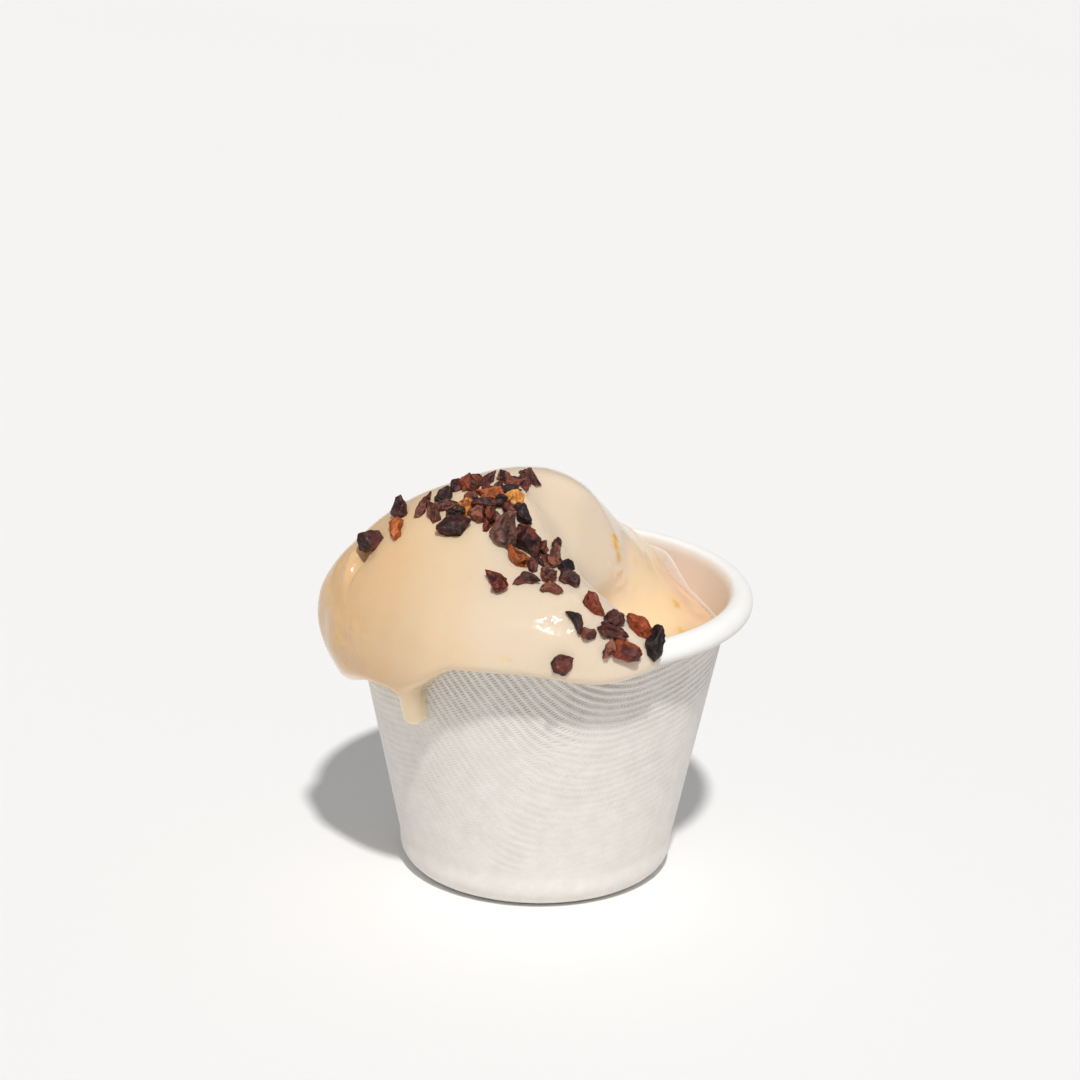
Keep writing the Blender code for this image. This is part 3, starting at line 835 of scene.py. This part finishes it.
# skin colour of a nib, a darker face, a freshly broken face
KINDS = {
    "p": ((82, 40, 35), (48, 22, 22), (116, 66, 56)), "k": ((38, 19, 19), (20, 12, 13), (72, 42, 38)),
    "m": ((66, 24, 23), (38, 14, 16), (108, 50, 40)), "b": ((112, 58, 44), (70, 33, 27), (146, 88, 66)),
    "B": ((98, 60, 50), (68, 40, 34), (132, 88, 74)), "r": ((108, 42, 24), (64, 23, 16), (150, 74, 44)),
    "R": ((126, 50, 29), (80, 27, 19), (160, 82, 50)), "o": ((160, 78, 34), (104, 43, 20), (200, 112, 54)),
    "O": ((150, 64, 33), (94, 35, 21), (188, 100, 56)), "g": ((200, 122, 46), (150, 78, 28), (230, 160, 78)),
    "t": ((62, 34, 30), (38, 21, 20), (136, 70, 50)), "M": ((66, 22, 19), (40, 13, 13), (184, 82, 38)),
}
# kind, place on the heap (mm), length, width (mm), turn in the face (degrees), outline
NIBS = [
    ("p", -34.8, -16.4, 76.5, 4.9, 3.9, 25, "dome"),
    ("p", -28.8, -11.7, 81.8, 4.1, 3.3, 95, "knob"),
    ("o", -29.7, -17.6, 79.4, 4.7, 2.5, 88, "hex"),
    ("b", -24.1, -13.7, 83.3, 6.0, 1.9, 62, "shard"),
    ("b", -22.3, -16.1, 83.0, 4.5, 2.3, 112, "point"),
    ("k", -20.4, -12.1, 84.9, 3.9, 2.5, 30, "almond"),
    ("m", -18.0, -9.3, 86.0, 2.9, 2.1, 55, "block"),
    ("b", -19.3, -15.3, 84.0, 4.3, 2.1, 10, "shard"),
    ("g", -15.7, -16.6, 83.9, 3.1, 2.7, 20, "block"),
    ("k", -18.0, -17.8, 83.0, 3.3, 2.2, 0, "block"),
    ("m", -17.7, -21.1, 81.1, 5.9, 3.9, 20, "almond"),
    ("r", -14.8, -10.0, 86.4, 5.2, 3.1, -70, "point"),
    ("p", -11.3, -8.1, 87.3, 5.0, 3.1, 55, "point"),
    ("o", -10.5, -12.8, 86.0, 4.9, 2.9, 12, "wedge"),
    ("t", -6.7, -7.6, 87.5, 4.6, 3.5, -10, "wedge"),
    ("r", -4.0, -6.9, 86.4, 3.9, 1.9, 80, "block"),
    ("p", -2.8, -3.5, 87.0, 4.4, 2.7, -35, "knob"),
    ("k", -6.9, -11.1, 86.5, 4.3, 1.9, 0, "almond"),
    ("g", -6.1, -14.0, 85.1, 4.1, 2.9, 10, "block"),
    ("m", -11.4, -15.6, 84.6, 5.7, 2.9, -8, "point"),
    ("b", -13.0, -18.5, 83.1, 2.9, 2.7, 0, "block"),
    ("r", -11.1, -20.0, 82.1, 4.3, 1.4, 80, "shard"),
    ("r", -9.6, -18.9, 82.5, 3.1, 1.4, 70, "block"),
    ("B", -7.5, -21.1, 80.8, 7.1, 5.5, 72, "fan"),
    ("k", -4.0, -17.2, 82.5, 4.1, 3.3, -60, "wedge"),
    ("m", -3.3, -19.2, 80.8, 3.5, 1.2, -8, "shard"),
    ("m", -3.1, -22.9, 78.5, 5.9, 4.1, -25, "dome"),
    ("o", -4.8, -28.3, 76.9, 4.6, 3.4, -25, "wedge"),
    ("b", 0.1, -22.6, 77.4, 3.5, 2.0, 60, "point"),
    ("B", 2.5, -23.1, 76.1, 3.7, 2.2, 85, "block"),
    ("b", 1.3, -26.8, 75.8, 2.6, 2.2, -30, "block"),
    ("p", -1.6, -29.1, 76.0, 3.2, 2.0, 75, "almond"),
    ("k", -0.0, -27.4, 76.1, 3.4, 0.8, -55, "shard"),
    ("k", 4.8, -26.1, 74.8, 3.0, 2.2, 20, "dome"),
    ("b", 1.4, -31.6, 74.7, 3.0, 2.6, 10, "block"),
    ("p", 5.6, -31.3, 73.8, 4.2, 2.6, -15, "knob"),
    ("p", -3.0, -33.7, 74.6, 5.2, 2.0, 8, "bent"),
    ("b", 2.0, -35.2, 73.3, 4.4, 1.8, -6, "bent"),
    ("M", -9.4, -35.0, 74.2, 5.0, 3.2, -28, "tri"),
    ("R", 10.4, -35.7, 70.6, 4.6, 3.4, -25, "spike"),
    ("k", 7.0, -40.5, 68.8, 4.8, 1.8, -52, "crescent"),
    ("b", 9.4, -41.8, 66.6, 3.0, 2.2, -10, "dome"),
    ("p", 14.6, -37.5, 67.7, 4.0, 3.2, 15, "block"),
    ("p", 14.2, -40.2, 66.1, 5.8, 2.6, -18, "hex"),
    ("O", 19.4, -36.5, 65.8, 6.6, 3.2, -22, "almond"),
    ("k", 22.6, -38.3, 63.1, 6.0, 3.9, 80, "almond"),
    ("b", 13.7, -42.4, 63.8, 3.4, 2.8, -75, "tri"),
    ("R", 17.6, -41.8, 62.8, 5.4, 4.0, -25, "dome"),
    ("m", 4.3, -45.5, 61.8, 3.8, 3.4, -35, "block"),
]
# smaller ones lie in the gaps and partly on the others
SECOND = [
    ("r", -14.1, -7.7, 87.0, 2.9, 2.5, 40, "block"),
    ("b", -7.8, -6.9, 87.7, 2.7, 2.3, -30, "point"),
    ("m", -11.0, -11.4, 86.5, 2.5, 2.1, 20, "block"),
    ("p", -9.0, -9.8, 87.1, 2.3, 1.9, 70, "shard"),
    ("b", -14.7, -13.8, 85.2, 2.7, 2.1, -15, "hex"),
    ("r", -11.9, -15.1, 84.8, 2.5, 2.3, 60, "block"),
    ("k", -8.8, -15.2, 84.7, 2.7, 2.1, 10, "almond"),
    ("o", -15.5, -15.7, 84.3, 2.7, 1.8, 25, "wedge"),
    ("k", -16.4, -17.3, 83.4, 2.5, 1.8, -20, "block"),
    ("b", -13.1, -17.8, 83.4, 2.7, 2.0, 30, "point"),
    ("r", -10.6, -18.8, 82.8, 2.0, 3.1, 0, "block"),
    ("m", -7.0, -16.3, 83.8, 2.7, 2.0, -40, "block"),
    ("k", -5.2, -15.5, 84.0, 2.3, 1.6, 50, "shard"),
    ("p", -3.9, -5.5, 86.9, 2.7, 2.5, 10, "hex"),
    ("p", -1.5, -24.1, 77.5, 2.6, 2.0, 70, "block"),
    ("b", -0.1, -23.3, 77.2, 2.4, 2.0, -20, "point"),
    ("p", 2.4, -19.5, 77.3, 2.0, 1.8, 30, "block"),
    ("b", 3.2, -25.8, 75.4, 1.8, 1.6, 0, "hex"),
    ("p", -4.4, -22.2, 79.3, 1.8, 1.4, 20, "shard"),
    ("m", -5.2, -21.3, 80.1, 2.0, 1.6, -50, "block"),
    ("p", 12.8, -39.4, 67.3, 1.8, 1.4, 30, "shard"),
    ("p", 16.1, -40.8, 64.9, 2.0, 1.6, 10, "block"),
]
# a few more have rolled over the crest to the back
BACK = [("b", -22.5, 8.0, 3.4, 2.6, "block"), ("k", -15.5, 12.5, 4.0, 2.4, "almond"), ("p", -10.5, 19.5, 3.6, 2.8, "knob"),
        ("r", -29.0, 4.5, 3.2, 2.4, "point"), ("m", -20.5, 17.5, 4.4, 3.0, "dome"), ("o", -3.0, 21.0, 3.0, 2.2, "wedge"),
        ("b", -14.0, 25.0, 2.8, 2.2, "hex"), ("k", -25.5, 16.5, 3.4, 2.0, "shard")]

graph = bpy.context.evaluated_depsgraph_get()
heap_tree = BVHTree.FromObject(sorbet, graph)
TO_EYE = (CAM_POS - Vector((0, 0, 0.055))).normalized()
chip_noise = [Noise(seed) for seed in (21, 22)]


def ridge(p, scale, noise):
    return 1.0 - 2.4 * np.abs(noise(p, scale))


def chip(kind, length, width, outline, rnd):
    """One broken nib: points (mm, long side on x, lying on z), faces, colours."""
    length, width = length * 1.16, width * 1.18
    thick = width * rnd.uniform(0.68, 0.92) + 0.2
    ring = np.array(OUTLINE[outline], float) + rnd.uniform(-0.10, 0.10, (len(OUTLINE[outline]), 2))
    cloud = []
    for x, y in ring:
        cloud.append((x, y, rnd.uniform(-0.45, 0.45)))
        if rnd.random() < 0.8:
            k = rnd.uniform(0.55, 0.92)
            cloud.append((x * k, y * k, rnd.uniform(0.50, 0.95)))
        if rnd.random() < 0.6:
            k = rnd.uniform(0.5, 0.9)
            cloud.append((x * k, y * k, -rnd.uniform(0.6, 1.0)))
    for _ in range(2):
        cloud.append((rnd.uniform(-0.5, 0.5), rnd.uniform(-0.5, 0.5), rnd.uniform(0.85, 1.1)))
    scale = np.array([length, width, thick]) / 2
    bm = bmesh.new()
    for q in cloud:
        bm.verts.new(np.array(q) * scale)
    hull = bmesh.ops.convex_hull(bm, input=bm.verts)
    gone = {e for e in hull["geom_interior"] + hull["geom_unused"] if isinstance(e, bmesh.types.BMVert)}
    bmesh.ops.delete(bm, geom=list(gone), context="VERTS")
    bmesh.ops.dissolve_limit(bm, angle_limit=0.22, verts=bm.verts, edges=bm.edges)
    bmesh.ops.bevel(bm, geom=bm.edges, offset=0.02 * width, offset_type="OFFSET", segments=1, profile=0.5,
                    affect="EDGES", clamp_overlap=True)
    bmesh.ops.triangulate(bm, faces=bm.faces)
    for limit in (1.0, 0.5, 0.31):
        longs = [e for e in bm.edges if e.calc_length() > limit]
        bmesh.ops.subdivide_edges(bm, edges=longs, cuts=1, use_grid_fill=True)
        bmesh.ops.triangulate(bm, faces=bm.faces)
    bmesh.ops.remove_doubles(bm, verts=bm.verts, dist=0.004)
    bm.normal_update()
    pts = np.array([v.co[:] for v in bm.verts])
    nrm = np.array([v.normal[:] for v in bm.verts])
    faces = np.array([[v.index for v in f_.verts] for f_ in bm.faces if len(f_.verts) == 3])
    bm.free()
    # hollows where the nib broke, some with a sharp rim
    for _ in range(1 if outline in ("dome", "crescent", "bent") else 3):
        way = rnd.normal(size=3) * (0.6, 0.6, 1.0)
        way[2] = abs(way[2])
        way /= np.linalg.norm(way)
        spot_ = way * scale * 0.92
        d = np.linalg.norm((pts - spot_) / scale, axis=1)
        pts = pts - way * (rnd.uniform(0.10, 0.22) * thick * np.clip(1.0 - (d / 0.62) ** 2, 0, 1))[:, None]
    # warped edges, layers along the seed's grain, flakes and fine grain
    shift = rnd.uniform(0, 60, 3)
    bend = np.stack([chip_noise[0](pts + shift + 5.0 * k, 0.40 * width + 0.4) for k in range(3)], axis=1)
    pts = pts + 0.13 * width * bend
    lay = rnd.normal(size=3) * (0.3, 1.0, 0.8)
    lay /= np.linalg.norm(lay)
    run = pts @ lay + 0.3 * chip_noise[1](pts + shift, 1.0)
    flake = np.abs(((run / 0.85) % 1.0) - 0.5) * 2.0
    grain = (0.075 * ridge(pts + shift, 1.0, chip_noise[0]) + 0.05 * ridge(pts + shift, 0.5, chip_noise[1])
             + 0.05 * (flake - 0.5) + 0.03 * chip_noise[0](pts + shift, 0.3))
    if kind == "B":
        grain = grain + 0.08 * np.sin(pts[:, 1] / (0.5 + 0.10 * (length / 2 - pts[:, 0])) * 3.4)
    if outline == "dome":
        grain = grain * 0.45
    pts = pts + nrm * grain[:, None]
    if outline == "crescent":
        pts[:, 1] -= 0.62 * width * ((pts[:, 0] / (length / 2)) ** 2 - 0.3)
    if outline == "bent":
        pts[:, 1] -= 0.45 * width * ((pts[:, 0] / (length / 2)) ** 2 - 0.3)
    skin, dark, fresh = (np.array(lin(*col)) for col in KINDS[kind])
    tint = np.tile(skin, (len(pts), 1))
    for col, count, cut in ((dark, 3, 0.62), (fresh, 2, 0.74)):
        for _ in range(count):
            way = rnd.normal(size=3)
            way /= np.linalg.norm(way)
            amount = step((nrm @ way - cut + 0.16 * chip_noise[0](pts + shift, 0.7)) / 0.16)[:, None]
            tint = tint * (1 - amount) + col * amount
    # dry, paler edges, and painted shade darkening the crevices, from how each point stands out of its neighbours
    total, count = np.zeros((len(pts), 3)), np.zeros(len(pts))
    for i_, j_ in ((0, 1), (1, 2), (2, 0)):
        for a_, b_ in ((i_, j_), (j_, i_)):
            np.add.at(total, faces[:, a_], pts[faces[:, b_]])
            np.add.at(count, faces[:, a_], 1.0)
    out_ = np.einsum("ij,ij->i", pts - total / np.maximum(count, 1)[:, None], nrm)
    pale = step((out_ - 0.012) / 0.05)[:, None]
    crevice_shade = step((-out_ - 0.004) / 0.04)[:, None]
    # painted shade in the crevices
    tint = tint * (1.0 - 0.45 * crevice_shade)
    tint = tint + (np.maximum(fresh, tint) * 1.12 - tint) * 0.55 * pale
    tint = tint * (1.0 + 0.25 * chip_noise[1](pts + shift + 9.0, 0.45) + 0.12 * (flake - 0.5))[:, None]
    return pts, faces, np.clip(tint, 0.002, 1.0)


def build_nibs():
    rnd = np.random.default_rng(77)
    all_pts, all_faces, all_tint, start = [], [], [], 0
    jobs = [(k, Vector((x, y, z)), l, w, t, o, True) for k, x, y, z, l, w, t, o in NIBS + SECOND]
    for k, x, y, l, w, o in BACK:
        hit = heap_tree.ray_cast(Vector((x, y, 120.0)) * MM, Vector((0, 0, -1)))
        jobs.append((k, hit[0] / MM, l, w, rnd.uniform(0, 180), o, False))
    for which, (kind, place, length, width, turn, outline, front) in enumerate(jobs):
        near, normal, _, _ = heap_tree.find_nearest(place * MM)
        pts, faces, tint = chip(kind, length, width, outline, rnd)
        z_ax = (normal * 0.55 + TO_EYE * 0.45).normalized() if front else normal.normalized()
        x_ax = (CAM_R - z_ax * CAM_R.dot(z_ax)).normalized()
        y_ax = z_ax.cross(x_ax)
        stretch = min(1.3, 1.0 / max(0.3, y_ax.dot(CAM_U))) if front else 1.0
        a = math.radians(turn)
        px = pts[:, 0] * math.cos(a) - pts[:, 1] * math.sin(a)
        py = (pts[:, 0] * math.sin(a) + pts[:, 1] * math.cos(a)) * stretch
        pz = pts[:, 2]
        crest = float(step((near.z / MM - 84.5) / 2.0)) if front else 0.0
        pz = pz * (1.0 - 0.25 * crest)
        lift = (0.30 - 0.16 * crest) * (pz.max() - pz.min())
        if len(NIBS) <= which < len(NIBS) + len(SECOND):
            lift = lift + 0.6 * (1.0 - crest)
        centre = np.array(near / MM) + np.array(normal) * lift
        world = centre + px[:, None] * np.array(x_ax) + py[:, None] * np.array(y_ax) + pz[:, None] * np.array(z_ax)
        all_pts.append(world)
        all_faces.append(faces + start)
        all_tint.append(tint)
        start += len(world)
    obj = make_mesh("cocoa_nibs", np.vstack(all_pts), np.vstack(all_faces))
    tint = np.vstack(all_tint)
    layer = obj.data.color_attributes.new("tint", "FLOAT_COLOR", "POINT")
    layer.data.foreach_set("color", np.hstack([tint, np.ones((len(tint), 1))]).astype(np.float32).ravel())
    obj.data.set_sharp_from_angle(angle=math.radians(38))
    return obj


nibs = build_nibs()
b = Nodes("nib_cocoa")
tint = b.tree.nodes.new("ShaderNodeAttribute")
tint.attribute_name = "tint"
mott = b.ramp(b.noise(1300.0, 4.0, 0.7), [(0.30, (0.74,) * 3), (0.70, (1.16,) * 3)])
b.link(b.mix(1.0, tint.outputs["Color"], mott, "MULTIPLY"), b.bsdf.inputs["Base Color"])
b.link(b.ramp(b.noise(700.0, 2.0, 0.5), [(0.3, (0.42,) * 3), (0.7, (0.72,) * 3)]), b.bsdf.inputs["Roughness"])
b.bsdf.inputs["Specular IOR Level"].default_value = 0.32
b.link(b.bump(b.noise(2200.0, 3.0, 0.6), 0.5, 0.0001), b.bsdf.inputs["Normal"])
nibs.data.materials.append(b.mat)

# ------------------------------------------------------- floor, light, ends
bpy.ops.mesh.primitive_plane_add(size=6.0, location=(0, 0, -0.00002))
floor = bpy.context.active_object
floor.name = "floor"
f = Nodes("floor_pale")
f.link(f.ramp(f.noise(3.0), [(0.0, lin(243, 243, 243)), (1.0, lin(247, 247, 247))]), f.bsdf.inputs["Base Color"])
f.bsdf.inputs["Roughness"].default_value = 0.9
floor.data.materials.append(f.mat)


KEY_UP, KEY_TURN = math.radians(56.0), math.radians(8.0)
from_ = Vector((math.sin(KEY_TURN) * math.cos(KEY_UP), -math.cos(KEY_TURN) * math.cos(KEY_UP), math.sin(KEY_UP)))
lamp = bpy.data.lights.new("key", "SUN")
lamp.energy = 2.45
lamp.angle = math.radians(3.4)
lamp.color = (1.0, 0.985, 0.965)
key = bpy.data.objects.new("key", lamp)
bpy.context.scene.collection.objects.link(key)
key.location = from_ * 2.0
key.rotation_euler = from_.to_track_quat("Z", "Y").to_euler()
world = bpy.data.worlds.new("studio")
bpy.context.scene.world = world
world.use_nodes = True
world.node_tree.nodes["Background"].inputs["Color"].default_value = (1.0, 1.0, 1.0, 1.0)
world.node_tree.nodes["Background"].inputs["Strength"].default_value = 0.37
bpy.context.scene.view_settings.view_transform = "Standard"

for piece, node, slot in ((sorbet, "sorbet", "cream"), (cup, "cup", "fibre"), (nibs, None, "cream"), (film, None, "cream")):
    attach(piece, "root")
    if node:
        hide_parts(node)
